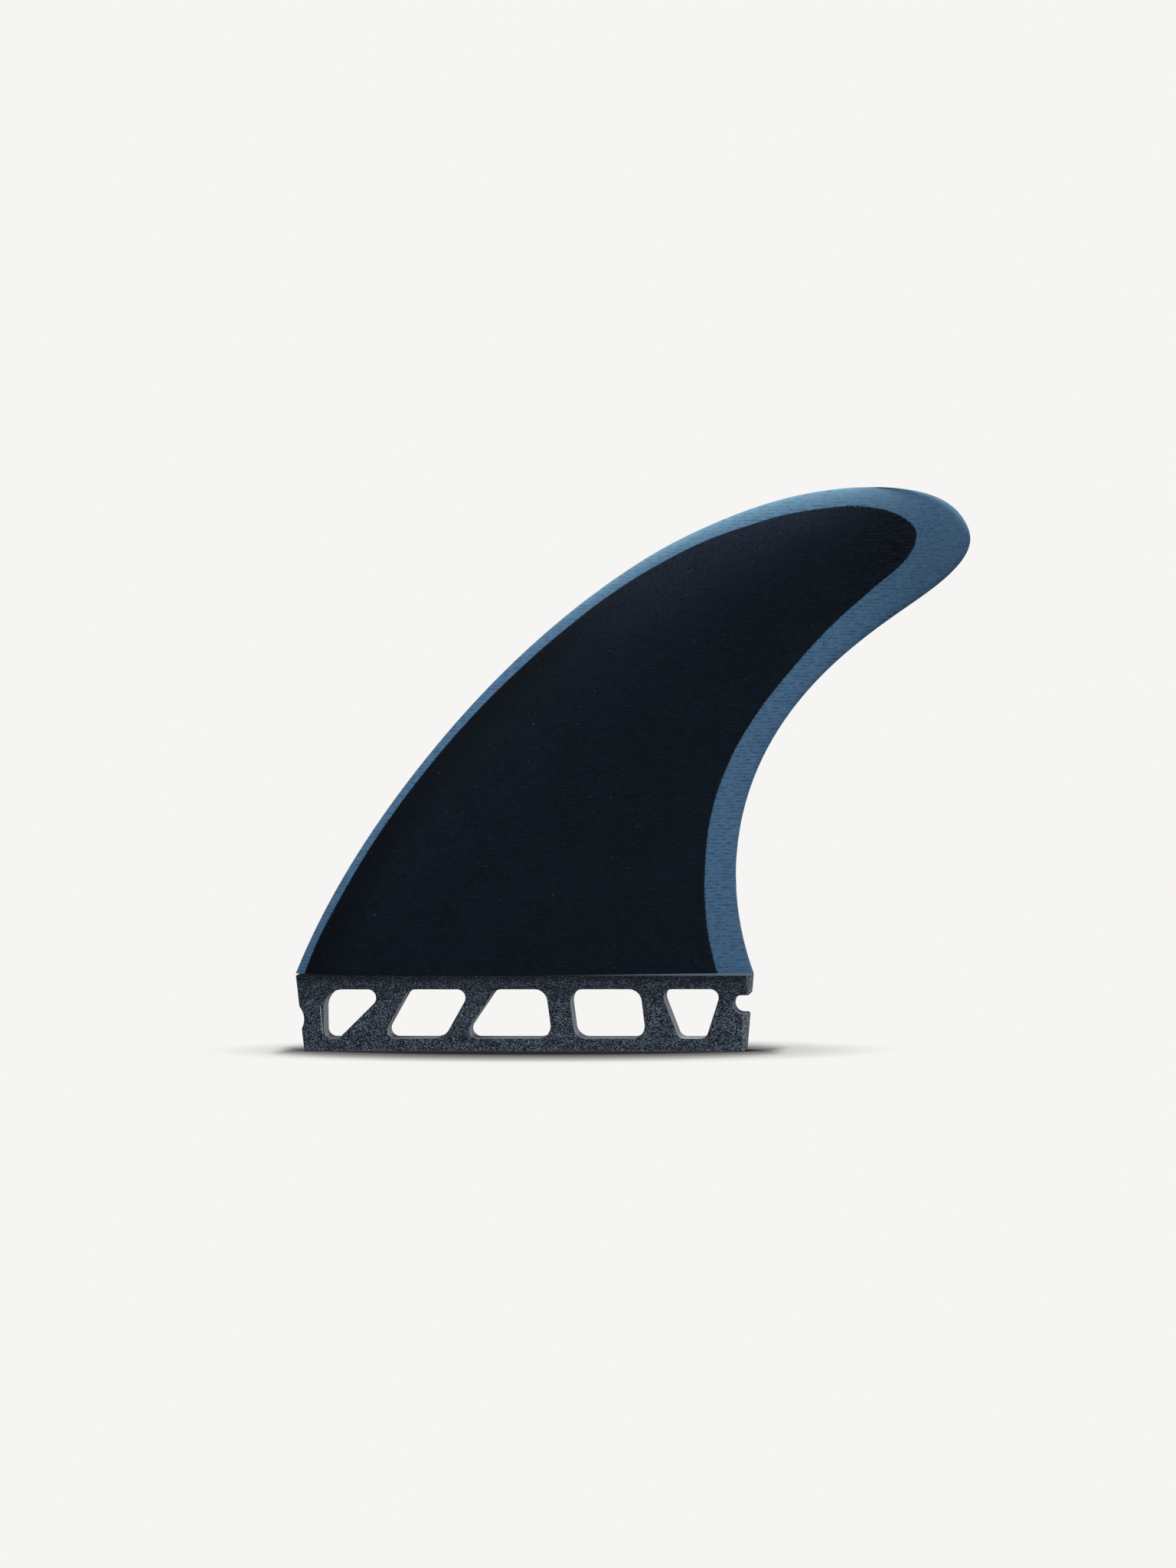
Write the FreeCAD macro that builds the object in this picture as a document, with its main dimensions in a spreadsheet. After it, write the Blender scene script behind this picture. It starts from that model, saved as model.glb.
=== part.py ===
import FreeCAD, Part
import Sketcher
import math
import os

# A fin for a surfboard, cut and foiled from one laminated panel, so it is one solid.
# Lengths are in millimetres and angles in degrees.
# X runs from the leading end to the trailing end, +Y points to the flat inside face, +Z is up.
# The origin is the middle of the tab's foot, half way through the tab's thickness.

SIZES = [
    # The tab that goes into the board's box.
    ("tab_length", 114.9),
    ("tab_thick", 6.9),
    ("tab_depth", 19.05),
    ("end_taper", 5.5),
    ("end_round", 0.8),
    ("foot_chamfer", 0.3),
    # The groove in the leading end that the box's grub screw presses on.
    ("scoop_height", 8.2),
    ("scoop_radius", 4.7),
    ("scoop_bite", 1.0),
    # The slot in the trailing end that hooks on the box's cross pin.
    ("slot_height", 11.78),
    ("slot_width", 4.66),
    ("slot_bite", 4.05),
    ("slot_lip", 0.6),
    # The five windows leave a truss of leaning ribs. Going back along the windows' floor and
    # along their roof: the solid land at each end, the two end windows and the four ribs.
    ("window_floor", 3.25),
    ("window_roof", 3.43),
    ("front_land_floor", 5.53),
    ("front_land_roof", 6.72),
    ("first_window_floor", 3.70),
    ("first_window_roof", 16.50),
    ("first_rib_floor", 10.83),
    ("first_rib_roof", 5.17),
    ("second_rib_floor", 4.44),
    ("second_rib_roof", 5.96),
    ("third_rib_floor", 5.62),
    ("third_rib_roof", 5.70),
    ("fourth_rib_floor", 8.14),
    ("fourth_rib_roof", 4.90),
    ("fifth_window_floor", 6.80),
    ("fifth_window_roof", 15.50),
    ("rear_land_floor", 9.97),
    ("rear_land_roof", 7.07),
    # The three middle windows share the length that is left, and the fourth has the rest.
    ("second_share_floor", 0.2798),
    ("second_share_roof", 0.3404),
    ("third_share_floor", 0.4040),
    ("third_share_roof", 0.2736),
    ("corner_tight", 2.1),
    ("corner_wide", 3.2),
    ("corner_soft", 4.8),
    # The blade's seven control rows, root to crest. First their heights, as shares of its depth.
    ("blade_depth", 120.44),
    ("low_share", 0.2096),
    ("middle_share", 0.5839),
    ("high_share", 0.8169),
    ("shoulder_share", 0.9188),
    # Where each row crosses the leading edge's and the trailing edge's control lines, which the
    # rounded edges lie just inside. The root's run out past the ends of the tab.
    ("lead_overhang", 1.37),
    ("lead_low", -48.12),
    ("lead_middle", -13.48),
    ("lead_high", 22.19),
    ("lead_shoulder", 43.21),
    ("trail_overhang", 0.28),
    ("trail_low", 48.87),
    ("trail_middle", 61.42),
    ("trail_high", 111.79),
    ("trail_shoulder", 114.91),
    ("crest_back", 87.51),
    ("crest_reach", 16.75),
    # The foil's thickness over the flat face in each row. The root's is the tab's, and the
    # next row is thinner than the tab by a little.
    ("low_thinning", 0.23),
    ("foil_middle", 4.80),
    ("foil_high", 3.23),
    ("foil_shoulder", 3.11),
    ("foil_brow", 0.5),
    ("foil_crest", 0.2),
    # The form that every section shares: a rounded nose and tail, and control points
    # as shares of the section's chord and thickness.
    ("nose_round", 0.6),
    ("tail_thick", 0.9),
    ("nose_rise", 0.108),
    ("brow_run", 0.07),
    ("brow_rise", 0.543),
    ("crown_run", 0.423),
    ("crown_rise", 1.245),
    ("ramp_run", 0.834),
    ("ramp_rise", 0.27),
]

WINDOWS = ["first", "second", "third", "fourth", "fifth"]

# How high the windows' floor and roof lie.
LEVELS = {"floor": "Sizes.window_floor", "roof": "(Sizes.tab_depth - Sizes.window_roof)"}

# Each window corner's radius: window, side and level.
CORNERS = {
    "corner_tight": [("first", "front", "floor"), ("first", "rear", "floor"), ("first", "rear", "roof"),
                     ("second", "front", "floor"), ("second", "rear", "roof"), ("third", "front", "floor"),
                     ("fifth", "front", "floor"), ("fifth", "rear", "floor"),
                     ("fifth", "front", "roof"), ("fifth", "rear", "roof")],
    "corner_wide": [("second", "front", "roof"), ("third", "front", "roof"), ("third", "rear", "roof"),
                    ("third", "rear", "floor"), ("fourth", "front", "roof"), ("fourth", "rear", "roof"),
                    ("fourth", "front", "floor"), ("fourth", "rear", "floor")],
    "corner_soft": [("first", "front", "roof"), ("second", "rear", "floor")],
}

# The seven control rows in order, as expressions on the sheet.
RISE_ROWS = ["0", "Sizes.blade_depth * Sizes.low_share", "Sizes.blade_depth * Sizes.middle_share",
             "Sizes.blade_depth * Sizes.high_share", "Sizes.blade_depth * Sizes.shoulder_share",
             "Sizes.blade_depth", "Sizes.blade_depth"]
LEAD_ROWS = ["(-Sizes.tab_length / 2 - Sizes.lead_overhang)", "Sizes.lead_low",
             "Sizes.lead_middle", "Sizes.lead_high", "Sizes.lead_shoulder",
             "(Sizes.crest_back - Sizes.crest_reach)", "Sizes.crest_back"]
TRAIL_ROWS = ["(Sizes.tab_length / 2 + Sizes.trail_overhang)", "Sizes.trail_low",
              "Sizes.trail_middle", "Sizes.trail_high", "Sizes.trail_shoulder",
              "(Sizes.crest_back + Sizes.crest_reach)", "Sizes.crest_back"]
FOIL_ROWS = ["Sizes.tab_thick", "(Sizes.tab_thick - Sizes.low_thinning)", "Sizes.foil_middle",
             "Sizes.foil_high", "Sizes.foil_shoulder", "Sizes.foil_brow", "Sizes.foil_crest"]

# Where the foil sections lie between the first control row, 0, and the last, 1. They close up
# at the root and at the crest, where the outline turns fastest, and the last leaves only a
# sliver of cap.
STATIONS = [0.0, 0.03, 0.07, 0.13, 0.21, 0.31, 0.42, 0.54, 0.66, 0.76, 0.85, 0.91, 0.95, 0.985]

# A section's control points, from the flat face round the nose, over the foil and round the
# tail, as expressions. None keeps a point on the sketch's own axis.
SECTION_POINTS = [
    ("Sizes.nose_round", None),
    (None, None),
    (None, "-Constraints.thick * Sizes.nose_rise"),
    ("Constraints.chord * Sizes.brow_run", "-Constraints.thick * Sizes.brow_rise"),
    ("Constraints.chord * Sizes.crown_run", "-Constraints.thick * Sizes.crown_rise"),
    ("Constraints.chord * Sizes.ramp_run",
     "-Constraints.thick * Sizes.ramp_rise - Sizes.tail_thick / 2 * 1 mm"),
    ("Constraints.chord", "-Sizes.tail_thick"),
    ("Constraints.chord", None),
    ("Constraints.chord - Sizes.tail_thick * 1 mm", None),
]

# How a sketch numbers its own origin and axes, and the points of a line or an arc.
ACROSS_AXIS, UP_AXIS = range(-1, -3, -1)
ORIGIN = ACROSS_AXIS
START, END, CENTRE = range(1, 4)

ZERO = FreeCAD.Vector(0, 0, 0)
OUT_OF_SKETCH = FreeCAD.Vector(0, 0, 1)

# The curves and the shares of the control rows are cubic.
DEGREE = 3

# How close a found edge has to be to where it is looked for.
NEAR = 0.01


def fill_sheet(doc):
    sheet = doc.addObject("Spreadsheet::Sheet", "Sizes")
    for row, (name, value) in enumerate(SIZES, 1):
        sheet.set(f"A{row}", name)
        sheet.set(f"B{row}", str(value))
        sheet.setAlias(f"B{row}", name)
    doc.recompute()


def new_sketch(body, name, role):
    plane = next(item for item in body.Origin.OriginFeatures if item.Role == role)
    sketch = body.newObject("Sketcher::SketchObject", name)
    sketch.AttachmentSupport = [(plane, "")]
    sketch.MapMode = "FlatFace"
    return sketch


def measure(item, expression):
    """What an expression is worth now, or 0 for a point that stays on an axis."""
    return float(item.evalExpression(expression)) if expression else 0.0


def spot_of(sketch, spot):
    """The point that an (across, up) pair of expressions stands for now."""
    return FreeCAD.Vector(measure(sketch, spot[0]), measure(sketch, spot[1]), 0)


def bind(sketch, constraint, expression):
    index = sketch.addConstraint(constraint)
    sketch.setExpression(f"Constraints[{index}]", expression)
    return index


def place(sketch, shape, point, spot):
    """Hold one point of a sketch at an (across, up) pair of expressions from its origin."""
    for kind, axis, expression in (("DistanceX", UP_AXIS, spot[0]), ("DistanceY", ACROSS_AXIS, spot[1])):
        if expression:
            value = measure(sketch, expression)
            bind(sketch, Sketcher.Constraint(kind, ORIGIN, START, shape, point, value), expression)
        else:
            sketch.addConstraint(Sketcher.Constraint("PointOnObject", shape, point, axis))


def draw_polygon(sketch, corners):
    spots = [spot_of(sketch, corner) for corner in corners]
    lines = [sketch.addGeometry(Part.LineSegment(spot, spots[(i + 1) % len(spots)]), False)
             for i, spot in enumerate(spots)]
    for i, line in enumerate(lines):
        next_line = lines[(i + 1) % len(lines)]
        sketch.addConstraint(Sketcher.Constraint("Coincident", line, END, next_line, START))
        place(sketch, line, START, corners[i])


def cut_through(body, name, sketch, before):
    """Pocket a sketch through the whole tab, and make sure that it took something away."""
    volume = before.Shape.Volume
    pocket = body.newObject("PartDesign::Pocket", name)
    pocket.Profile = sketch
    pocket.SideType = "Symmetric"
    pocket.Type = "ThroughAll"
    body.Document.recompute()
    if pocket.Shape.Volume >= volume:
        raise RuntimeError(name + " cut nothing")
    return pocket


def dress(body, kind, name, base, edges, size_property, size):
    """Round or chamfer named edges of the base feature by a size on the sheet."""
    feature = body.newObject(kind, name)
    feature.Base = (base, edges)
    feature.setExpression(size_property, "Sizes." + size)
    body.Document.recompute()
    return feature


def edge_names(shape, wanted):
    return [f"Edge{i}" for i, edge in enumerate(shape.Edges, 1) if wanted(edge)]


def lies_level(edge):
    return edge.BoundBox.ZLength < NEAR


def through_edges_at(base, spots):
    """Edges straight across the thickness at the given (across, up) pairs of expressions."""
    points = [(measure(base, across), measure(base, up)) for across, up in spots]

    def wanted(edge):
        box = edge.BoundBox
        return box.XLength < NEAR and lies_level(edge) and any(
            abs(box.Center.x - x) < NEAR and abs(box.Center.z - z) < NEAR for x, z in points)

    return edge_names(base.Shape, wanted)


def end_at(height):
    """Where the tab's tapered trailing end lies at a height above the foot."""
    return f"(Sizes.tab_length / 2 - (Sizes.tab_depth - {height}) * tan(Sizes.end_taper * 1 deg))"


def make_tab(body):
    outline = new_sketch(body, "TabOutline", "XZ_Plane")
    draw_polygon(outline, [("-Sizes.tab_length / 2", "Sizes.tab_depth"),
                           ("Sizes.tab_length / 2", "Sizes.tab_depth"),
                           (end_at("0"), None),
                           ("-" + end_at("0"), None)])
    tab = body.newObject("PartDesign::Pad", "Tab")
    tab.Profile = outline
    tab.SideType = "Symmetric"
    tab.setExpression("Length", "Sizes.tab_thick")
    body.Document.recompute()
    ends = edge_names(tab.Shape, lambda edge: not lies_level(edge))
    rounded = dress(body, "PartDesign::Fillet", "EndRounds", tab, ends, "Radius", "end_round")
    foot = edge_names(rounded.Shape, lambda edge: edge.BoundBox.ZMax < NEAR)
    return dress(body, "PartDesign::Chamfer", "FootChamfer", rounded, foot, "Size", "foot_chamfer")


def cut_scoop(body, before):
    sketch = new_sketch(body, "ScoopOutline", "XZ_Plane")
    spot = (f"-{end_at('Sizes.scoop_height')} + Sizes.scoop_bite - Sizes.scoop_radius",
            "Sizes.scoop_height")
    radius = measure(sketch, "Sizes.scoop_radius")
    circle = sketch.addGeometry(Part.Circle(spot_of(sketch, spot), OUT_OF_SKETCH, radius), False)
    place(sketch, circle, CENTRE, spot)
    bind(sketch, Sketcher.Constraint("Radius", circle, radius), "Sizes.scoop_radius")
    return cut_through(body, "ScrewScoop", sketch, before)


def cut_slot(body, before):
    """A slot with a round end, open at the trailing end through two rounded lips."""
    sketch = new_sketch(body, "SlotOutline", "XZ_Plane")
    half = "Sizes.slot_width / 2"
    sill = f"(Sizes.slot_height - {half} - Sizes.slot_lip)"
    lintel = f"(Sizes.slot_height + {half} + Sizes.slot_lip)"
    bow_spot = (f"{end_at('Sizes.slot_height')} - Sizes.slot_bite + {half}", "Sizes.slot_height")
    low_spot = (f"{end_at(sill)} - Sizes.slot_lip", sill)
    high_spot = (f"{end_at(lintel)} - Sizes.slot_lip", lintel)
    mouth_line = f"{end_at('Sizes.tab_depth')} + Sizes.slot_lip"
    mouth_at = measure(sketch, mouth_line)
    lip = measure(sketch, "Sizes.slot_lip")
    radius = measure(sketch, half)
    centre, low, high = [spot_of(sketch, spot) for spot in (bow_spot, low_spot, high_spot)]

    def arc(middle, size, start, finish):
        circle = Part.Circle(middle, OUT_OF_SKETCH, size)
        piece = Part.ArcOfCircle(circle, math.radians(start), math.radians(finish))
        return sketch.addGeometry(piece, False)

    def line(x, z, next_x, next_z):
        piece = Part.LineSegment(FreeCAD.Vector(x, z, 0), FreeCAD.Vector(next_x, next_z, 0))
        return sketch.addGeometry(piece, False)

    bow = arc(centre, radius, 90, 270)
    floor = line(centre.x, centre.y - radius, low.x, centre.y - radius)
    low_lip = arc(low, lip, 0, 90)
    sill_line = line(low.x + lip, low.y, mouth_at, low.y)
    mouth = line(mouth_at, low.y, mouth_at, high.y)
    lintel_line = line(mouth_at, high.y, high.x + lip, high.y)
    high_lip = arc(high, lip, 270, 360)
    roof = line(high.x, centre.y + radius, centre.x, centre.y + radius)
    sketch.addConstraint([Sketcher.Constraint("Tangent", bow, END, floor, START),
                          Sketcher.Constraint("Tangent", floor, END, low_lip, END),
                          Sketcher.Constraint("Coincident", low_lip, START, sill_line, START),
                          Sketcher.Constraint("Coincident", sill_line, END, mouth, START),
                          Sketcher.Constraint("Coincident", mouth, END, lintel_line, START),
                          Sketcher.Constraint("Coincident", lintel_line, END, high_lip, END),
                          Sketcher.Constraint("Tangent", high_lip, START, roof, START),
                          Sketcher.Constraint("Tangent", roof, END, bow, START),
                          Sketcher.Constraint("Vertical", mouth),
                          Sketcher.Constraint("Horizontal", low_lip, CENTRE, low_lip, START),
                          Sketcher.Constraint("Horizontal", high_lip, CENTRE, high_lip, END),
                          Sketcher.Constraint("Horizontal", sill_line),
                          Sketcher.Constraint("Horizontal", lintel_line)])
    place(sketch, bow, CENTRE, bow_spot)
    place(sketch, low_lip, CENTRE, low_spot)
    place(sketch, high_lip, CENTRE, high_spot)
    bind(sketch, Sketcher.Constraint("Radius", bow, radius), half)
    bind(sketch, Sketcher.Constraint("DistanceX", ORIGIN, START, mouth, START, mouth_at), mouth_line)
    return cut_through(body, "PinSlot", sketch, before)


def window_sides(level):
    """Where the windows' sides meet the floor or the roof, from both ends of the tab inwards."""
    end = end_at(LEVELS[level])

    def size(name):
        return f"Sizes.{name}_{level}"

    front = {"first": f"({size('front_land')} - {end})"}
    rear = {"first": f"({front['first']} + {size('first_window')})"}
    front["second"] = f"({rear['first']} + {size('first_rib')})"
    rear["fifth"] = f"({end} - {size('rear_land')})"
    front["fifth"] = f"({rear['fifth']} - {size('fifth_window')})"
    rear["fourth"] = f"({front['fifth']} - {size('fourth_rib')})"
    left = f"({rear['fourth']} - {front['second']} - {size('second_rib')} - {size('third_rib')})"
    rear["second"] = f"({front['second']} + {left} * {size('second_share')})"
    front["third"] = f"({rear['second']} + {size('second_rib')})"
    rear["third"] = f"({front['third']} + {left} * {size('third_share')})"
    front["fourth"] = f"({rear['third']} + {size('third_rib')})"
    return {"front": front, "rear": rear}


def window_corner(window, side, level):
    return window_sides(level)[side][window], LEVELS[level]


def cut_windows(body, before):
    """Five windows leave a truss of leaning ribs, each corner rounded by its own cutter."""
    sketch = new_sketch(body, "WindowOutlines", "XZ_Plane")
    for window in WINDOWS:
        draw_polygon(sketch, [window_corner(window, side, level) for side, level in
                              (("front", "floor"), ("rear", "floor"), ("rear", "roof"), ("front", "roof"))])
    feature = cut_through(body, "Windows", sketch, before)
    for radius, corners in CORNERS.items():
        edges = through_edges_at(feature, [window_corner(*corner) for corner in corners])
        feature = dress(body, "PartDesign::Fillet", "Rounded_" + radius, feature, edges, "Radius", radius)
    return feature


def row_shares(station):
    """How much each control row counts at a station: the spline basis over even, clamped knots."""
    rows = len(RISE_ROWS)
    spans = rows - DEGREE
    knots = [min(max(i - DEGREE, 0), spans) / spans for i in range(rows + DEGREE + 1)]

    def ramp(start, finish):
        """How far the station is from one knot to another, or 0 where the two are the same."""
        return (station - start) / (finish - start) if finish != start else 0.0

    shares = [1.0 if low <= station < high else 0.0 for low, high in zip(knots, knots[1:])]
    for order in range(1, DEGREE + 1):
        shares = [ramp(knots[i], knots[i + order]) * shares[i]
                  + ramp(knots[i + order + 1], knots[i + 1]) * shares[i + 1]
                  for i in range(len(shares) - 1)]
    return shares


def blend(station, rows):
    """One size at a station, as an expression that mixes the control rows."""
    return " + ".join(f"{share:.8f} * {row}" for share, row in zip(row_shares(station), rows) if share)


def add_gauge(sketch, name, kind, axis, direction, size):
    """A named length along an axis of the sketch, which its other sizes take shares of."""
    value = measure(sketch, size)
    gauge = sketch.addGeometry(Part.LineSegment(ZERO, direction * value), True)
    sketch.addConstraint(Sketcher.Constraint("Coincident", gauge, START, ORIGIN, START))
    sketch.addConstraint(Sketcher.Constraint("PointOnObject", gauge, END, axis))
    index = bind(sketch, Sketcher.Constraint(kind, gauge, START, gauge, END, value), size)
    sketch.renameConstraint(index, name)


def draw_section(body, number, station):
    """One foil section: a curve from the flat face round to the flat face, closed by a line."""
    sketch = new_sketch(body, f"FoilSection{number}", "XY_Plane")
    sketch.setExpression("AttachmentOffset.Base.x", blend(station, LEAD_ROWS))
    sketch.setExpression("AttachmentOffset.Base.y", "Sizes.tab_thick / 2")
    sketch.setExpression("AttachmentOffset.Base.z", "Sizes.tab_depth + " + blend(station, RISE_ROWS))
    chord = f"({blend(station, TRAIL_ROWS)}) - ({blend(station, LEAD_ROWS)})"
    add_gauge(sketch, "chord", "DistanceX", ACROSS_AXIS, FreeCAD.Vector(1, 0, 0), chord)
    add_gauge(sketch, "thick", "DistanceY", UP_AXIS, FreeCAD.Vector(0, 1, 0), blend(station, FOIL_ROWS))
    points = [spot_of(sketch, spot) for spot in SECTION_POINTS]
    curve = sketch.addGeometry(Part.BSplineCurve(points, None, None, False, DEGREE, None, False), False)
    sketch.exposeInternalGeometry(curve)
    for i, spot in enumerate(SECTION_POINTS, curve + 1):
        place(sketch, i, CENTRE, spot)
    flat = sketch.addGeometry(Part.LineSegment(points[-1], points[0]), False)
    sketch.addConstraint([Sketcher.Constraint("Coincident", curve, END, flat, START),
                          Sketcher.Constraint("Coincident", flat, END, curve, START)])
    return sketch


def raise_blade(body):
    sections = [draw_section(body, number, station) for number, station in enumerate(STATIONS, 1)]
    body.Document.recompute()
    blade = body.newObject("PartDesign::AdditiveLoft", "Blade")
    blade.Profile = sections[0]
    blade.Sections = sections[1:]
    body.Document.recompute()
    return blade


def make_fin(doc):
    body = doc.addObject("PartDesign::Body", "Fin")
    body.Label = "fin"
    tab = make_tab(body)
    tab = cut_scoop(body, tab)
    tab = cut_slot(body, tab)
    cut_windows(body, tab)
    raise_blade(body)
    return body


def check(doc, bodies):
    for item in doc.Objects:
        if "Invalid" in item.State or "Error" in item.State:
            raise RuntimeError(f"{item.Name} failed: {item.State}")
    for body in bodies:
        shape = body.Shape
        if shape.isNull() or not shape.isValid() or len(shape.Solids) != 1:
            raise RuntimeError(body.Label + " is not one sound solid")
        box = shape.optimalBoundingBox()
        print(f"{body.Label}: {box.XLength:.2f} x {box.YLength:.2f} x {box.ZLength:.2f} mm,"
              f" {shape.Volume / 1000:.2f} cm3, {len(shape.Faces)} faces")


doc = FreeCAD.newDocument("SurfboardFin")
fill_sheet(doc)
bodies = [make_fin(doc)]
doc.recompute()
check(doc, bodies)
os.makedirs("parts", exist_ok=True)
for body in bodies:
    body.Shape.exportStep(f"parts/{body.Label}.step")
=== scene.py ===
# %% [markdown]
# # A surfboard fin
#
# This lesson dresses one solid: a side fin with a swept, foiled blade and a windowed tab under it.
# The solid is already right in size and place, so the work here is in the smooth skin, the
# two-tone laminate, the raw cut edges, the light and the camera.

# %% Load the fixed frame
import math

import bmesh
import bpy
from mathutils import Matrix, Vector


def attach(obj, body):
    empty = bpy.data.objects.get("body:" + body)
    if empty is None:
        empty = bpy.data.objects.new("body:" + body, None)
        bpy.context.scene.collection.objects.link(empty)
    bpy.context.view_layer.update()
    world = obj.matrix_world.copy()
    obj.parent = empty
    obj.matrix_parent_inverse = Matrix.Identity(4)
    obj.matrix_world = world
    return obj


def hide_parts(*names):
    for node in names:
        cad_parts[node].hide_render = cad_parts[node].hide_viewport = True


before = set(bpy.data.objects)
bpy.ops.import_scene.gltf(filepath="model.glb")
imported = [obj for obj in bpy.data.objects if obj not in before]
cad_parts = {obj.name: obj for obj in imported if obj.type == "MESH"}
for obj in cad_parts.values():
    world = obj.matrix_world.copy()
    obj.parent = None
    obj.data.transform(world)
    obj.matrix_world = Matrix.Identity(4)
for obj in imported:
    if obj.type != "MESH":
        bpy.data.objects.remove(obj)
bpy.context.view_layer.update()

MM = 0.001
TAB_TOP = 19.05
INSIDE = 3.45

# %% [markdown]
# ## The camera
#
# The photograph was taken with a long lens from nearly straight ahead, a touch from the side and
# from above. A camera looks down its own -Z, so it is tipped up by a right angle less the look
# down, turned about Z by the azimuth and rolled about its own view line.

# %% Camera
CAMERA_PLACE = Vector((0.21237, -1.40231, 0.15312))
CAMERA_AZIMUTH = math.radians(7.939)
CAMERA_LOOK_DOWN = math.radians(3.497)
CAMERA_ROLL = math.radians(-0.808)
CAMERA_LENS = 130.864
CAMERA_SENSOR = 36.0
CAMERA_FAR = 20.0
FIN_MIDDLE = Vector((0.03, 0.0, 0.07))

camera_data = bpy.data.cameras.new("camera")
camera_data.lens = CAMERA_LENS
camera_data.sensor_width = CAMERA_SENSOR
camera_data.clip_end = CAMERA_FAR
camera = bpy.data.objects.new("camera", camera_data)
camera.matrix_world = (
    Matrix.Translation(CAMERA_PLACE)
    @ Matrix.Rotation(CAMERA_AZIMUTH, 4, "Z")
    @ Matrix.Rotation(math.pi / 2 - CAMERA_LOOK_DOWN, 4, "X")
    @ Matrix.Rotation(CAMERA_ROLL, 4, "Z")
)
bpy.context.scene.collection.objects.link(camera)
bpy.context.scene.camera = camera
bpy.context.scene.view_settings.view_transform = "Standard"
print("camera distance in metres:", round((CAMERA_PLACE - FIN_MIDDLE).length, 3))

# %% [markdown]
# ## Helpers for node materials
#
# Every finish here is a small tree of nodes. A few helpers keep the trees short: they add a node
# and fill its inputs, do one sum, ease a value from 0 to 1, mix two colours, lay thin glazes of
# colour over one another, and turn a screen colour into the linear one that shaders take.


# %% Node helpers
def add_node(tree, kind, settings=None, **inputs):
    """Add a node, set its own settings and fill its inputs with numbers or links."""
    node = tree.nodes.new(kind)
    for name, value in (settings or {}).items():
        setattr(node, name, value)
    for name, value in inputs.items():
        by_number = name.startswith("_")
        socket = node.inputs[int(name[1:]) if by_number else name.replace("_", " ")]
        if isinstance(value, bpy.types.NodeSocket):
            tree.links.new(value, socket)
        else:
            socket.default_value = value
    return node


def maths(tree, operation, first, second=0.0, third=0.0):
    """One sum on up to three values."""
    node = add_node(tree, "ShaderNodeMath", {"operation": operation}, _0=first, _1=second, _2=third)
    return node.outputs[0]


def ease(tree, value, low, high):
    """0 below low, 1 above high and a smooth ramp between them."""
    node = add_node(tree, "ShaderNodeMapRange", {"interpolation_type": "SMOOTHSTEP"},
                    Value=value, From_Min=low, From_Max=high)
    return node.outputs["Result"]


def mix_colour(tree, share, first, second):
    """The first colour where the share is 0, the second where it is 1."""
    node = add_node(tree, "ShaderNodeMix", {"data_type": "RGBA"}, _0=share, _6=first, _7=second)
    return node.outputs[2]


def glaze(tree, colour, layers):
    """Lay thin layers over a colour, in order: each has a mask, a strength and its own colour."""
    for mask, strength, layer in layers:
        colour = mix_colour(tree, maths(tree, "MULTIPLY", mask, strength), colour, layer)
    return colour


def srgb(red, green, blue):
    """A colour in screen values from 0 to 255, as the linear one that shaders take."""
    linear = []
    for value in (red, green, blue):
        share = value / 255
        linear.append(share / 12.92 if share <= 0.04045 else ((share + 0.055) / 1.055) ** 2.4)
    return (*linear, 1.0)


print("a mid grey of 128 on the screen is", round(srgb(128, 128, 128)[0], 3), "to a shader")

# %% [markdown]
# ## The floor and the background
#
# The fin stands on its tab on something white with no horizon. To the camera the floor and the
# world glow in the very tone of the background, so no edge shows between them. Round the foot the
# glow gives way to a soft shadow, and in its darkest part to matt paint, which also takes the
# lamps' own shadow. To light rays the floor is plain grey.

# %% Floor
BACKGROUND = srgb(246, 245, 243)
FLOOR_SIDES = 96
FLOOR_RADIUS = 6.0

floor_mesh = bpy.data.meshes.new("floor")
floor = bpy.data.objects.new("floor", floor_mesh)
bm = bmesh.new()
bmesh.ops.create_circle(bm, segments=FLOOR_SIDES, radius=FLOOR_RADIUS, cap_ends=True)
bm.to_mesh(floor_mesh)
bm.free()
bpy.context.scene.collection.objects.link(floor)
print("floor:", FLOOR_RADIUS, "metres round")

# %% [markdown]
# The shadow has two parts, in millimetres. The dark core is a slim ellipse that ends a little
# past the tab, and its half depth shrinks towards its ends. A faint halo runs out further, and
# counts only where the core has let go.

# %% Shadow
CORE_MIDDLE = 1.0
CORE_REACH = (64.0, 17.3)
CORE_SOFTNESS = 11.0
CORE_ENDS = (57.0, 66.0)
HALO_MIDDLE = 6.0
HALO_REACH = (92.0, 32.0)
HALO_FADES = (0.6, 1.0)
HALO_DEPTH = 0.33
CORE_LETS_GO = 0.9
SHADOW_FLOOR = 0.025
GLOW_FROM = (0.02, 0.20)
FLOOR_TONE = 0.70
FLOOR_BOUNCE = 0.20

floor_paint = bpy.data.materials.new("floor_paint")
floor_paint.use_nodes = True
tree = floor_paint.node_tree
tree.nodes.clear()
place = add_node(tree, "ShaderNodeTexCoord").outputs["Object"]
spot = add_node(tree, "ShaderNodeSeparateXYZ", Vector=place)
nearer = maths(tree, "ABSOLUTE", maths(tree, "DIVIDE", spot.outputs["Y"], MM))
aside = maths(tree, "ABSOLUTE", maths(tree, "MULTIPLY_ADD", spot.outputs["X"], 1 / MM, -CORE_MIDDLE))
squared = maths(tree, "POWER", maths(tree, "DIVIDE", aside, CORE_REACH[0]), 2.0)
half_depth = maths(tree, "SQRT", maths(tree, "MAXIMUM", maths(tree, "SUBTRACT", 1.0, squared), 0.0))
past_core = maths(tree, "SUBTRACT", nearer, maths(tree, "MULTIPLY", half_depth, CORE_REACH[1]))
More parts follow.
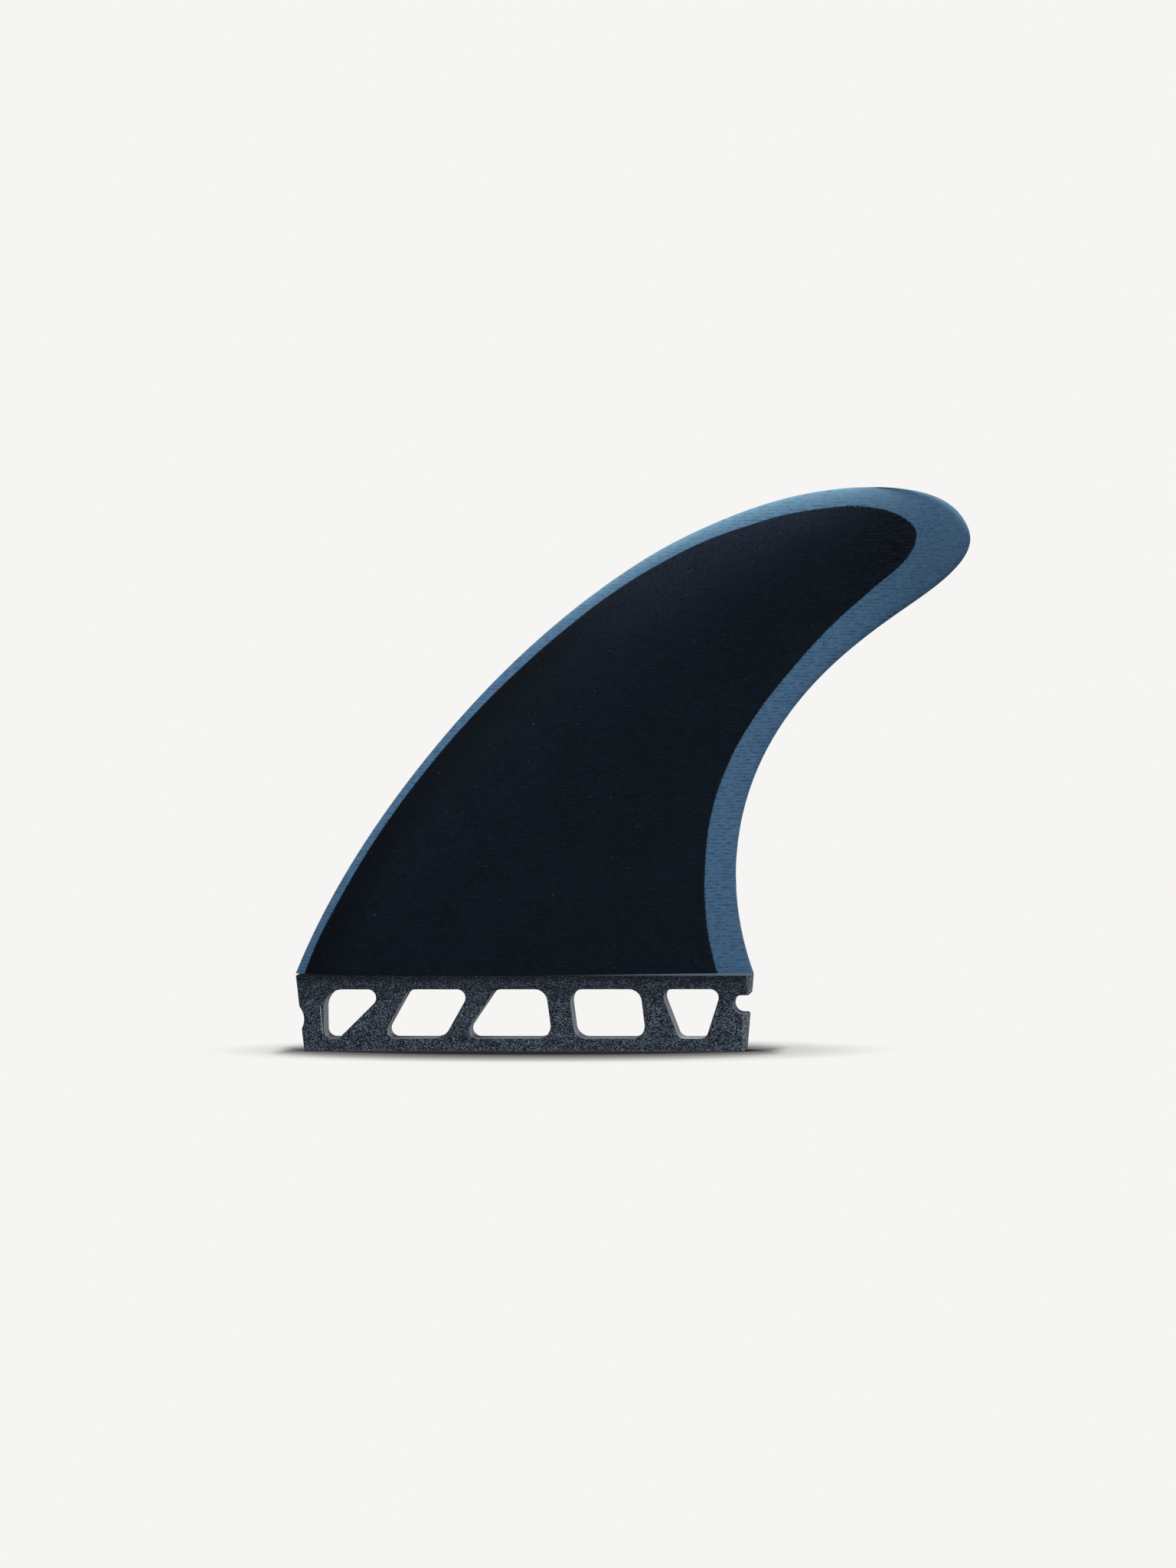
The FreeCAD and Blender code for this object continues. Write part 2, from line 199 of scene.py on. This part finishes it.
core_lit = ease(tree, past_core, -CORE_SOFTNESS, CORE_SOFTNESS)
core_lit = maths(tree, "MAXIMUM", core_lit, ease(tree, aside, *CORE_ENDS))

halo_aside = maths(tree, "MULTIPLY_ADD", spot.outputs["X"], 1 / MM, -HALO_MIDDLE)
halo_spot = add_node(tree, "ShaderNodeCombineXYZ", X=maths(tree, "DIVIDE", halo_aside, HALO_REACH[0]),
                     Y=maths(tree, "DIVIDE", nearer, HALO_REACH[1]))
halo_reach = add_node(tree, "ShaderNodeVectorMath", {"operation": "LENGTH"}, _0=halo_spot.outputs[0])
halo_lit = ease(tree, halo_reach.outputs["Value"], *HALO_FADES)
halo_lit = maths(tree, "MULTIPLY_ADD", halo_lit, HALO_DEPTH, 1 - HALO_DEPTH)
under_core = maths(tree, "SUBTRACT", 1.0, ease(tree, core_lit, 0.0, CORE_LETS_GO))
halo_lit = maths(tree, "MAXIMUM", halo_lit, under_core)
lit = maths(tree, "MAXIMUM", maths(tree, "MULTIPLY", core_lit, halo_lit), SHADOW_FLOOR)

camera_sees = add_node(tree, "ShaderNodeLightPath").outputs["Is Camera Ray"]
seen_tone = maths(tree, "MULTIPLY", lit, FLOOR_TONE)
bounce_tone = (FLOOR_BOUNCE, FLOOR_BOUNCE, FLOOR_BOUNCE, 1.0)
tone = mix_colour(tree, camera_sees, bounce_tone, seen_tone)
paint = add_node(tree, "ShaderNodeBsdfDiffuse", Color=tone)
glow = add_node(tree, "ShaderNodeEmission", Color=BACKGROUND, Strength=lit)
share = maths(tree, "MULTIPLY", ease(tree, lit, *GLOW_FROM), camera_sees)
blend = add_node(tree, "ShaderNodeMixShader", _0=share, _1=paint.outputs[0], _2=glow.outputs[0])
add_node(tree, "ShaderNodeOutputMaterial", Surface=blend.outputs[0])
floor_mesh.materials.append(floor_paint)
print("floor shadow: core", CORE_REACH, "mm, halo", HALO_REACH, "mm")

# %% World
OBJECT_LIGHT = 0.15

world = bpy.data.worlds.new("studio")
bpy.context.scene.world = world
world.use_nodes = True
tree = world.node_tree
tree.nodes.clear()
camera_sees = add_node(tree, "ShaderNodeLightPath").outputs["Is Camera Ray"]
seen = add_node(tree, "ShaderNodeBackground", Color=BACKGROUND, Strength=1.0)
soft = add_node(tree, "ShaderNodeBackground", Color=(1.0, 1.0, 1.0, 1.0), Strength=OBJECT_LIGHT)
pick = add_node(tree, "ShaderNodeMixShader", _0=camera_sees, _1=soft.outputs[0], _2=seen.outputs[0])
add_node(tree, "ShaderNodeOutputWorld", Surface=pick.outputs[0])
print("world strength for the object:", OBJECT_LIGHT)

# %% [markdown]
# ## The light
#
# The photograph has wide, soft light. One large lamp hangs above and a little behind the fin and
# lights its upper edges. The key lamp, in front and to the left, lights the blade, and a small one
# on the right reaches into the windows and onto the rear end of the tab.


# %% Lamps
# For each: its name, place and width and height in metres, and its power in watts.
LAMPS = [
    ("lamp_above", (-0.2, 0.1, 1.4), 1.0, 0.8, 8.0),
    ("lamp_key", (-0.4, -0.75, 1.35), 0.7, 0.7, 25.5),
    ("lamp_side", (0.85, -0.75, 0.35), 0.4, 0.4, 6.5),
]


def hang_lamp(name, place, width, height, watts):
    """A soft, oblong lamp that points at the middle of the fin."""
    data = bpy.data.lights.new(name, "AREA")
    data.shape = "RECTANGLE"
    data.size = width
    data.size_y = height
    data.energy = watts
    lamp = bpy.data.objects.new(name, data)
    aim = (FIN_MIDDLE - Vector(place)).to_track_quat("-Z", "Y")
    lamp.matrix_world = Matrix.Translation(Vector(place)) @ aim.to_matrix().to_4x4()
    bpy.context.scene.collection.objects.link(lamp)


for lamp_values in LAMPS:
    hang_lamp(*lamp_values)

# %% [markdown]
# ## The skin
#
# The solid comes in as loose triangles. A copy of it is merged, so that light can run smoothly
# over the foil, and its true corners are marked sharp. The copy takes the place of the solid.

# %% Skin
SHARP_ANGLE = math.radians(24)
MERGE_DISTANCE = 0.002 * MM

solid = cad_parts["fin"]
skin_mesh = solid.data.copy()
skin_mesh.name = "fin_skin"
skin = bpy.data.objects.new("fin_skin", skin_mesh)
bpy.context.scene.collection.objects.link(skin)
bm = bmesh.new()
bm.from_mesh(skin_mesh)
bmesh.ops.remove_doubles(bm, verts=bm.verts, dist=MERGE_DISTANCE)
for face in bm.faces:
    face.smooth = True
for edge in bm.edges:
    edge.smooth = edge.is_manifold and edge.calc_face_angle(math.pi) < SHARP_ANGLE
bm.to_mesh(skin_mesh)
print("skin:", len(bm.verts), "vertices,", len(bm.faces), "faces,",
      sum(1 for edge in bm.edges if not edge.is_manifold), "open edges")
bm.free()
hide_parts("fin")
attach(skin, "root")

# %% [markdown]
# ## Node groups
#
# The larger effects are node groups. Each takes places or values in and puts out only masks.
# This helper makes an empty one.

# %% Group helper
FLOAT = "NodeSocketFloat"
VECTOR = "NodeSocketVector"


def new_group(name, inputs, outputs):
    """An empty node group, with its own input and output nodes."""
    group = bpy.data.node_groups.new(name, "ShaderNodeTree")
    for label, kind, value in inputs:
        socket = group.interface.new_socket(label, in_out="INPUT", socket_type=kind)
        if value is not None:
            socket.default_value = value
    for label in outputs:
        group.interface.new_socket(label, in_out="OUTPUT", socket_type=FLOAT)
    return group, group.nodes.new("NodeGroupInput"), group.nodes.new("NodeGroupOutput")


print("node groups take:", FLOAT, "and", VECTOR)

# %% [markdown]
# ## The edge of the dark plies
#
# The panel is a stack of glass cloth: blue plies next to the flat inside, dark ones outside.
# Foiling sands through the dark plies wherever the blade gets thin, so the blue shows as a band
# that follows the edges, narrow along the steep leading edge and wide towards the tip and the
# trailing edge. Three curves say where the dark ends: in front and behind as a place along the
# fin for each height, and on top as a height for each place along it.

# %% Dark plies group
FRONT_EDGE = [(19.05, -56.15), (27, -52.79), (36, -47.9), (46, -41.96), (57, -34.56), (69, -25.31),
              (82, -13.89), (95, -0.59), (106, 12.49), (115, 24.86), (122, 36.89), (127, 47.55),
              (131, 59.6), (135, 74.0)]
REAR_EDGE = [(19.05, 48.5), (27, 46.57), (36, 45.59), (46, 45.72), (57, 47.05), (69, 50.8), (82, 57.92),
             (95, 68.21), (106, 78.61), (115, 88.98), (122, 96.88), (127, 99.19), (131, 98.6),
             (135, 96.6)]
TOP_EDGE = [(44.0, 125.6), (50.0, 128.2), (58.79, 131.01), (67.95, 133.17), (77.09, 134.5),
            (82.8, 134.9), (88.47, 134.45), (93.0, 133.3), (97.51, 130.81), (101.0, 127.0)]
SPAN_UP = (19.05, 135.0)
SPAN_ALONG = (-60.0, 105.0)
# The front edge leans, so the way straight through it is this share of the way along the fin.
FRONT_LEAN = 0.75
# How softly the rear edge and the top edge run into one another, in millimetres.
REAR_CORNER = 2.5


def share_of(value, span):
    """Where a value lies in a span, from 0 to 1."""
    return (value - span[0]) / (span[1] - span[0])


def curve_through(tree, value, points, span_in, span_out):
    """A smooth curve through points in millimetres: one place for each other place."""
    inward = add_node(tree, "ShaderNodeMapRange", Value=value, From_Min=span_in[0], From_Max=span_in[1])
    curve = add_node(tree, "ShaderNodeFloatCurve", Value=inward.outputs["Result"])
    line = curve.mapping.curves[0]
    line.points[0].location = (share_of(points[0][0], span_in), share_of(points[0][1], span_out))
    line.points[1].location = (share_of(points[-1][0], span_in), share_of(points[-1][1], span_out))
    for spot, height in points[1:-1]:
        line.points.new(share_of(spot, span_in), share_of(height, span_out))
    curve.mapping.update()
    outward = add_node(tree, "ShaderNodeMapRange", {"clamp": False}, Value=curve.outputs["Value"],
                       To_Min=span_out[0], To_Max=span_out[1])
    return outward.outputs["Result"]


plies_group, plies_in, plies_out = new_group(
    "dark_plies", [("Along", FLOAT, 0.0), ("Up", FLOAT, 0.0)], ["Depth", "Front Depth"])
front = curve_through(plies_group, plies_in.outputs["Up"], FRONT_EDGE, SPAN_UP, SPAN_ALONG)
rear = curve_through(plies_group, plies_in.outputs["Up"], REAR_EDGE, SPAN_UP, SPAN_ALONG)
top = curve_through(plies_group, plies_in.outputs["Along"], TOP_EDGE, SPAN_ALONG, SPAN_UP)
behind_front = maths(plies_group, "SUBTRACT", plies_in.outputs["Along"], front)
behind_front = maths(plies_group, "MULTIPLY", behind_front, FRONT_LEAN)
before_rear = maths(plies_group, "SUBTRACT", rear, plies_in.outputs["Along"])
under_top = maths(plies_group, "SUBTRACT", top, plies_in.outputs["Up"])
near_rear = maths(plies_group, "SMOOTH_MIN", before_rear, under_top, REAR_CORNER)
depth = maths(plies_group, "MINIMUM", behind_front, near_rear)
plies_group.links.new(depth, plies_out.inputs["Depth"])
plies_group.links.new(behind_front, plies_out.inputs["Front Depth"])
print("edge of the dark plies:", len(FRONT_EDGE), "+", len(REAR_EDGE), "+", len(TOP_EDGE), "points")

# %% [markdown]
# ## Woven cloth
#
# Under the clear resin one sees the cloth. Its rows are fine level bands, a little bent, and each
# row is broken into short streaks where a thread dives under its neighbour. A fine noise adds
# grain, and a slow one makes whole patches a little lighter or darker.

# %% Weave group
ROW_PITCH = 0.86
ROW_BEND = 0.5
BEND_FINENESS = 0.35
STREAK_STRETCH = (0.65, 1.0, 1.7)
STREAK_FINENESS = 0.9
STREAK_EDGE = (0.34, 0.66)
GRAIN_FINENESS = 2.6
GRAIN_EDGE = (0.3, 0.7)
CLOUD_FINENESS = 0.06

weave_group, weave_in, weave_out = new_group(
    "weave", [("Spot", VECTOR, None)], ["Rows", "Streaks", "Grain", "Cloud"])
place = weave_in.outputs["Spot"]
bend = add_node(weave_group, "ShaderNodeTexNoise", Vector=place, Scale=BEND_FINENESS, Detail=3.0)
height = add_node(weave_group, "ShaderNodeSeparateXYZ", Vector=place).outputs["Z"]
height = maths(weave_group, "MULTIPLY_ADD", bend.outputs["Fac"], ROW_BEND, height)
row_wave = maths(weave_group, "SINE", maths(weave_group, "MULTIPLY", height, 2 * math.pi / ROW_PITCH))
rows = maths(weave_group, "MULTIPLY_ADD", row_wave, 0.5, 0.5)
flat = add_node(weave_group, "ShaderNodeVectorMath", {"operation": "MULTIPLY"},
                _0=place, _1=STREAK_STRETCH)
broken = add_node(weave_group, "ShaderNodeTexNoise", Vector=flat.outputs[0], Scale=STREAK_FINENESS,
                  Detail=2.0)
streaks = ease(weave_group, broken.outputs["Fac"], *STREAK_EDGE)
grain = add_node(weave_group, "ShaderNodeTexNoise", Vector=place, Scale=GRAIN_FINENESS, Detail=2.0)
grain = ease(weave_group, grain.outputs["Fac"], *GRAIN_EDGE)
cloud = add_node(weave_group, "ShaderNodeTexNoise", Vector=place, Scale=CLOUD_FINENESS, Detail=4.0,
                 Roughness=0.6).outputs["Fac"]
for label, source in (("Rows", rows), ("Streaks", streaks), ("Grain", grain), ("Cloud", cloud)):
    weave_group.links.new(source, weave_out.inputs[label])
print("weave group:", len(weave_group.nodes), "nodes, one row each", ROW_PITCH, "mm")

# %% [markdown]
# ## Speckles
#
# The tab isn't polished. Its glass fibres catch the light as dense pale specks and short
# dashes, and it has a scratch. Stretched noise cut off near its peaks gives the specks.

# %% Speckle group
speckle_group, speckle_in, speckle_out = new_group(
    "speckle", [("Spot", VECTOR, None), ("Stretch", VECTOR, (1.0, 1.0, 1.0)), ("Fineness", FLOAT, 2.0),
                ("Threshold", FLOAT, 0.55), ("Softness", FLOAT, 0.1)],
    ["Specks"])
drawn = add_node(speckle_group, "ShaderNodeVectorMath", {"operation": "MULTIPLY"},
                 _0=speckle_in.outputs["Spot"], _1=speckle_in.outputs["Stretch"])
grain = add_node(speckle_group, "ShaderNodeTexNoise", Vector=drawn.outputs[0],
                 Scale=speckle_in.outputs["Fineness"], Detail=3.0, Roughness=0.65)
peak = maths(speckle_group, "ADD", speckle_in.outputs["Threshold"], speckle_in.outputs["Softness"])
specks = ease(speckle_group, grain.outputs["Fac"], speckle_in.outputs["Threshold"], peak)
speckle_group.links.new(specks, speckle_out.inputs["Specks"])


def add_specks(tree, spot, stretch, fineness, threshold, softness):
    """A mask of specks at a spot, from the group above."""
    node = add_node(tree, "ShaderNodeGroup", {"node_tree": speckle_group}, Spot=spot, Stretch=stretch,
                    Fineness=fineness, Threshold=threshold, Softness=softness)
    return node.outputs["Specks"]


print("speckle group:", len(speckle_group.nodes), "nodes")

# %% [markdown]
# ## The laminate
#
# One material covers the whole fin, as one panel was cut to make it. It mixes, in turn: the
# dark face, the blue band, the unpolished tab, and the pale raw walls of the cut-outs. The
# masks come from the place in the fin's own millimetres and from the way the surface faces.

# %% Laminate places
laminate = bpy.data.materials.new("laminate")
laminate.use_nodes = True
tree = laminate.node_tree
tree.nodes.clear()
coordinates = add_node(tree, "ShaderNodeTexCoord")
spot = add_node(tree, "ShaderNodeVectorMath", {"operation": "SCALE"},
                _0=coordinates.outputs["Object"], Scale=1 / MM).outputs[0]
parts = add_node(tree, "ShaderNodeSeparateXYZ", Vector=spot)
along, across, up = parts.outputs[0], parts.outputs[1], parts.outputs[2]
facing = add_node(tree, "ShaderNodeSeparateXYZ", Vector=coordinates.outputs["Normal"])
faces_back, faces_up = facing.outputs[1], facing.outputs[2]
faces_side = maths(tree, "ABSOLUTE", faces_back)
weave = add_node(tree, "ShaderNodeGroup", {"node_tree": weave_group}, Spot=spot).outputs
plies = add_node(tree, "ShaderNodeGroup", {"node_tree": plies_group}, Along=along, Up=up).outputs
print("places: along, across, up and three ways of facing")

# %% [markdown]
# A mask says where each part of the laminate is. The dark plies end thread by thread, so their
# edge has fine teeth, which are shorter along the leading edge. What faces back is the flat
# inside, and what faces sideways on the tab is a cut wall.

# %% Laminate masks
TOOTH_DEPTH = 1.0
TOOTH_FINENESS = 3.6
FRONT_TOOTH_SHARE = 0.25
FULL_TOOTH_FROM = (3.0, 7.0)
DARK_EDGE = 0.14
FACES_BACK = (0.80, 0.93)
FACES_ASIDE = (0.80, 0.55)
# The ledge on top of the tab lies between these two heights.
LEDGE_BOTTOM = TAB_TOP - 0.05
LEDGE_TOP = TAB_TOP + 0.02
# The windows lie within this distance of the tab's middle, and the end faces beyond it.
WALLS_REACH = 51.0

saw = add_node(tree, "ShaderNodeTexNoise", Vector=spot, Scale=TOOTH_FINENESS, Detail=1.0)
tooth = maths(tree, "MULTIPLY", maths(tree, "SUBTRACT", saw.outputs["Fac"], 0.5), TOOTH_DEPTH)
full = ease(tree, plies["Front Depth"], *FULL_TOOTH_FROM)
size = maths(tree, "MULTIPLY_ADD", full, 1 - FRONT_TOOTH_SHARE, FRONT_TOOTH_SHARE)
depth = maths(tree, "ADD", plies["Depth"], maths(tree, "MULTIPLY", tooth, size))
inside_share = ease(tree, faces_back, *FACES_BACK)
dark_share = maths(tree, "MAXIMUM", ease(tree, depth, -DARK_EDGE, DARK_EDGE), inside_share)

on_tab = maths(tree, "LESS_THAN", up, LEDGE_TOP)
under_ledge = maths(tree, "LESS_THAN", up, LEDGE_BOTTOM)
on_ledge = maths(tree, "SUBTRACT", on_tab, under_ledge)
within_ends = maths(tree, "LESS_THAN", maths(tree, "ABSOLUTE", along), WALLS_REACH)
cut_wall = maths(tree, "MULTIPLY", under_ledge, ease(tree, faces_side, *FACES_ASIDE))
window_wall = maths(tree, "MULTIPLY", cut_wall, within_ends)
print("masks: dark plies, flat inside, tab, ledge, cut walls")

# %% [markdown]
# The dark face has a painted sheen just under the crest, where light grazes it, and painted shade at
# the tip; it is also darker along the leading edge. The flat inside isn't in the photograph, so its
# plain tone is a guess.

# %% Dark face colours
DARK = srgb(3, 9, 16)
DARK_PALE = srgb(22, 30, 41)
# Painted shade at the tip; the same tone also darkens the leading edge.
DARK_TIP = srgb(1, 4, 9)
# A painted sheen: a paler glaze where light grazes the dark face under the crest.
DARK_PAINTED_SHEEN = srgb(30, 42, 58)
DARK_SPECK = srgb(96, 104, 114)
INSIDE_TONE = srgb(64, 74, 86)
# Places on the fin, in millimetres, where a mask starts and where it is full.
TIP_ALONG = (72.0, 104.0)
PAINTED_SHEEN_DEPTHS = (30.0, 3.0)
PAINTED_SHEEN_HEIGHTS = (92.0, 124.0)
RIM_DEPTHS = (9.0, 0.5)
RIM_HEIGHTS = (118.0, 96.0)

streaks = maths(tree, "MULTIPLY_ADD", weave["Rows"], 0.8, 0.2)
streaks = maths(tree, "MULTIPLY", weave["Streaks"], streaks)
tip_share = ease(tree, along, *TIP_ALONG)
# Painted sheen just under the crest, kept off the tip.
painted_sheen = ease(tree, plies["Front Depth"], *PAINTED_SHEEN_DEPTHS)
painted_sheen = maths(tree, "MULTIPLY", painted_sheen, ease(tree, up, *PAINTED_SHEEN_HEIGHTS))
painted_sheen = maths(tree, "MULTIPLY", painted_sheen, maths(tree, "SUBTRACT", 1.0, tip_share))
front_rim = ease(tree, plies["Front Depth"], *RIM_DEPTHS)
front_rim = maths(tree, "MULTIPLY", front_rim, ease(tree, up, *RIM_HEIGHTS))
fine = add_specks(tree, spot, (1.0, 1.0, 1.0), 1.6, 0.70, 0.04)
shade = glaze(tree, DARK, [
    (weave["Cloud"], 0.35, DARK_PALE),
    # painted sheen under the crest
    (painted_sheen, maths(tree, "MULTIPLY_ADD", weave["Grain"], 0.65, 0.05), DARK_PAINTED_SHEEN),
    # painted shade at the tip
    (tip_share, 1.0, DARK_TIP),
    (streaks, maths(tree, "MULTIPLY_ADD", tip_share, 0.25, 0.40), DARK_PALE),
    (front_rim, 0.75, DARK_TIP),
    (weave["Grain"], 0.18, DARK_PALE),
    (fine, 0.5, DARK_SPECK),
    (inside_share, 0.7, INSIDE_TONE),
])
print("dark face:", [round(value, 3) for value in DARK[:3]])

# %% [markdown]
# The blue band has painted light up the crest, painted shade at the tip and the root, and a painted
# highlight where the foil meets the flat inside. Streaks of cloth run all over it.

# %% Blue band colours
BLUE = srgb(64, 94, 124)
# Painted light on the crest, and the pale grain.
BLUE_PALE = srgb(108, 152, 178)
# Painted shade at the tip and the root, and the dark cloth streaks.
BLUE_DEEP = srgb(34, 54, 76)
# A painted light fringe along the crest.
BLUE_CREST_LIGHT = srgb(116, 154, 172)
# A painted highlight where the foil meets the flat inside.
BLUE_EDGE_HIGHLIGHT = srgb(120, 150, 175)
CREST_LIGHT_FACES_UP = (0.12, 0.60)
CREST_LIGHT_HEIGHTS = (92.0, 136.0)
ROOT_SHADE_HEIGHTS = (60.0, 22.0)
FRINGE_ACROSS = (1.3, 3.4)
FRINGE_HEIGHTS = (88.0, 128.0)
FRINGE_FACES_UP = (0.02, 0.25)
EDGE_HIGHLIGHT_ACROSS = (INSIDE - 0.45, INSIDE - 0.15)

# Painted light where the crest faces up.
crest_painted_light = ease(tree, faces_up, *CREST_LIGHT_FACES_UP)
crest_painted_light = maths(tree, "MULTIPLY", crest_painted_light, ease(tree, up, *CREST_LIGHT_HEIGHTS))
# Painted shade towards the root.
root_painted_shade = ease(tree, up, *ROOT_SHADE_HEIGHTS)
# A painted light fringe on the crest, where it faces up.
crest_light_fringe = maths(tree, "MULTIPLY", ease(tree, across, *FRINGE_ACROSS), ease(tree, up, *FRINGE_HEIGHTS))
crest_light_fringe = maths(tree, "MULTIPLY", crest_light_fringe, ease(tree, faces_up, *FRINGE_FACES_UP))
outside = maths(tree, "SUBTRACT", 1.0, inside_share)
# A painted highlight along the edge of the flat inside.
edge_highlight = maths(tree, "MULTIPLY", ease(tree, across, *EDGE_HIGHLIGHT_ACROSS), outside)
blue = glaze(tree, BLUE, [
    (crest_painted_light, 0.34, BLUE_PALE),
    # painted shade at the tip
    (tip_share, 0.60, BLUE_DEEP),
    (root_painted_shade, 0.22, BLUE_DEEP),
    (streaks, 0.80, BLUE_DEEP),
    (weave["Grain"], 0.12, BLUE_PALE),
    (crest_light_fringe, 0.40, BLUE_CREST_LIGHT),
    (edge_highlight, 0.35, BLUE_EDGE_HIGHLIGHT),
])
blade_colour = mix_colour(tree, dark_share, blue, shade)
print("blue band:", [round(value, 3) for value in BLUE[:3]])

# %% [markdown]
# The tab is dark and full of pale grain, which thins out towards its shaded top. It has a painted
# highlight along its foot, and a scratch near its leading end. Its trailing end has a painted
# highlight at the outer edge, more so below the pin slot.

# %% Tab colours
TAB_BASE = srgb(18, 24, 33)
TAB_GRAIN = srgb(86, 97, 111)
TAB_SHADE = srgb(12, 18, 24)
TAB_SPECK = srgb(180, 192, 200)
# A painted highlight along the foot.
TAB_FOOT_HIGHLIGHT = srgb(84, 104, 112)
# A painted highlight on the rounded trailing end, with the grain showing through.
END_LIGHT_BASE = srgb(78, 86, 94)
END_LIGHT_GRAIN = srgb(134, 143, 150)
GRAIN_HEIGHTS = (17.0, 9.0)
SHADE_HEIGHTS = (16.9, 18.6)
FOOT_HIGHLIGHT_HEIGHTS = (0.42, 0.18)
SCRATCH_TOP = -51.25
SCRATCH_SLOPE = 0.075
SCRATCH_WIDTH = 0.16
SCRATCH_HEIGHTS = (4.6, 11.6)
END_LIGHT_BELOW_SLOT = 55.0
END_LIGHT_ABOVE_SLOT = 56.4
SLOT_HEIGHTS = (11.0, 12.5)
END_LIGHT_EDGE = 0.3

tab_clouds = add_specks(tree, spot, (1.0, 1.0, 1.3), 0.35, 0.40, 0.25)
tab_grain = add_specks(tree, spot, (0.85, 1.0, 1.15), 2.5, 0.46, 0.14)
tab_specks = add_specks(tree, spot, (0.8, 1.0, 1.2), 2.9, 0.58, 0.06)
lower_down = maths(tree, "MULTIPLY_ADD", ease(tree, up, *GRAIN_HEIGHTS), 0.45, 0.55)
shares = maths(tree, "MULTIPLY_ADD", tab_clouds, 0.35, 0.50)
shares = maths(tree, "MULTIPLY", lower_down, shares)

middle = sum(SCRATCH_HEIGHTS) / 2
scratch_at = maths(tree, "SUBTRACT", SCRATCH_HEIGHTS[1], up)
scratch_at = maths(tree, "MULTIPLY_ADD", scratch_at, SCRATCH_SLOPE, SCRATCH_TOP)
beside = maths(tree, "COMPARE", along, scratch_at, SCRATCH_WIDTH / 2)
level_with = maths(tree, "COMPARE", up, middle, SCRATCH_HEIGHTS[1] - middle)
scratch = maths(tree, "MULTIPLY", beside, level_with)

# A painted highlight on the rounded trailing end, reaching further forward below the pin slot.
above_slot = ease(tree, up, *SLOT_HEIGHTS)
end_light_from = maths(tree, "MULTIPLY_ADD", above_slot, END_LIGHT_ABOVE_SLOT - END_LIGHT_BELOW_SLOT, END_LIGHT_BELOW_SLOT)
painted_light = ease(tree, maths(tree, "SUBTRACT", along, end_light_from), -END_LIGHT_EDGE, END_LIGHT_EDGE)
tab_colour = glaze(tree, TAB_BASE, [
    (tab_grain, shares, TAB_GRAIN),
    (tab_specks, maths(tree, "MULTIPLY", shares, 0.75), TAB_SPECK),
    (ease(tree, up, *SHADE_HEIGHTS), 0.6, TAB_SHADE),
    # painted highlight along the foot
    (ease(tree, up, *FOOT_HIGHLIGHT_HEIGHTS), 0.35, TAB_FOOT_HIGHLIGHT),
    (scratch, 0.6, TAB_SPECK),
    # painted highlight at the trailing end
    (painted_light, 0.55, mix_colour(tree, tab_grain, END_LIGHT_BASE, END_LIGHT_GRAIN)),
])
print("tab: grain, specks, shaded top, foot line, scratch, worn end")

# %% [markdown]
# The cut walls are raw and pale. The tab's grain runs over its end faces and the windows' side
# walls, but not over the sills. The ledge is dark in front, with a painted highlight that grows
# paler towards the trailing end.

# %% Wall and ledge colours
END_BASE = srgb(60, 70, 80)
END_GRAIN = srgb(165, 178, 190)
WALL_BASE = srgb(140, 148, 156)
WALL_GRAIN = srgb(165, 173, 181)
SILL = srgb(101, 106, 111)
LAST_SILL = srgb(148, 152, 158)
LAST_SILL_ALONG = (30.0, 36.0)
SILL_FACES_UP = (0.55, 0.85)
LEDGE_FRONT = srgb(12, 18, 24)
# A painted highlight on the ledge.
LEDGE_HIGHLIGHT = srgb(78, 92, 105)
LEDGE_HIGHLIGHT_ALONG = (0.0, 50.0)

end_colour = mix_colour(tree, tab_grain, END_BASE, END_GRAIN)
side_wall = mix_colour(tree, tab_grain, WALL_BASE, WALL_GRAIN)
sill = mix_colour(tree, ease(tree, along, *LAST_SILL_ALONG), SILL, LAST_SILL)
wall_colour = mix_colour(tree, ease(tree, faces_up, *SILL_FACES_UP), side_wall, sill)
# The ledge's painted highlight grows from none in front to full towards the trailing end.
ledge_and_highlight = mix_colour(tree, ease(tree, along, *LEDGE_HIGHLIGHT_ALONG), LEDGE_FRONT, LEDGE_HIGHLIGHT)
colour = mix_colour(tree, on_tab, blade_colour, tab_colour)
colour = mix_colour(tree, on_ledge, colour, ledge_and_highlight)
colour = mix_colour(tree, cut_wall, colour, end_colour)
colour = mix_colour(tree, window_wall, colour, wall_colour)
print("walls and ledge: 4 tones over the tab's own")

# %% [markdown]
# The shader is satin on the blade and duller on the tab. A very low relief follows the streaks
# and the grain, too fine to see as shape.

# %% Laminate relief and shader
BLADE_ROUGHNESS = 0.48
TAB_EXTRA = 0.16
CLOUD_EXTRA = 0.06
STREAK_RELIEF = -0.004
GRAIN_RELIEF = 0.04
RELIEF_STRENGTH = 0.6

roughness = maths(tree, "MULTIPLY_ADD", on_tab, TAB_EXTRA, BLADE_ROUGHNESS)
roughness = maths(tree, "MULTIPLY_ADD", weave["Cloud"], CLOUD_EXTRA, roughness)
relief = maths(tree, "MULTIPLY", streaks, STREAK_RELIEF)
raised = maths(tree, "MULTIPLY", on_tab, tab_grain)
relief = maths(tree, "MULTIPLY_ADD", raised, GRAIN_RELIEF, relief)
bump = add_node(tree, "ShaderNodeBump", Height=relief, Distance=MM, Strength=RELIEF_STRENGTH)
shader = add_node(tree, "ShaderNodeBsdfPrincipled", Base_Color=colour, Roughness=roughness,
                  Normal=bump.outputs[0])
shader.inputs["IOR"].default_value = 1.5
shader.inputs["Specular IOR Level"].default_value = 0.06
add_node(tree, "ShaderNodeOutputMaterial", Surface=shader.outputs[0])
skin_mesh.materials.clear()
skin_mesh.materials.append(laminate)
print("laminate nodes:", len(tree.nodes))
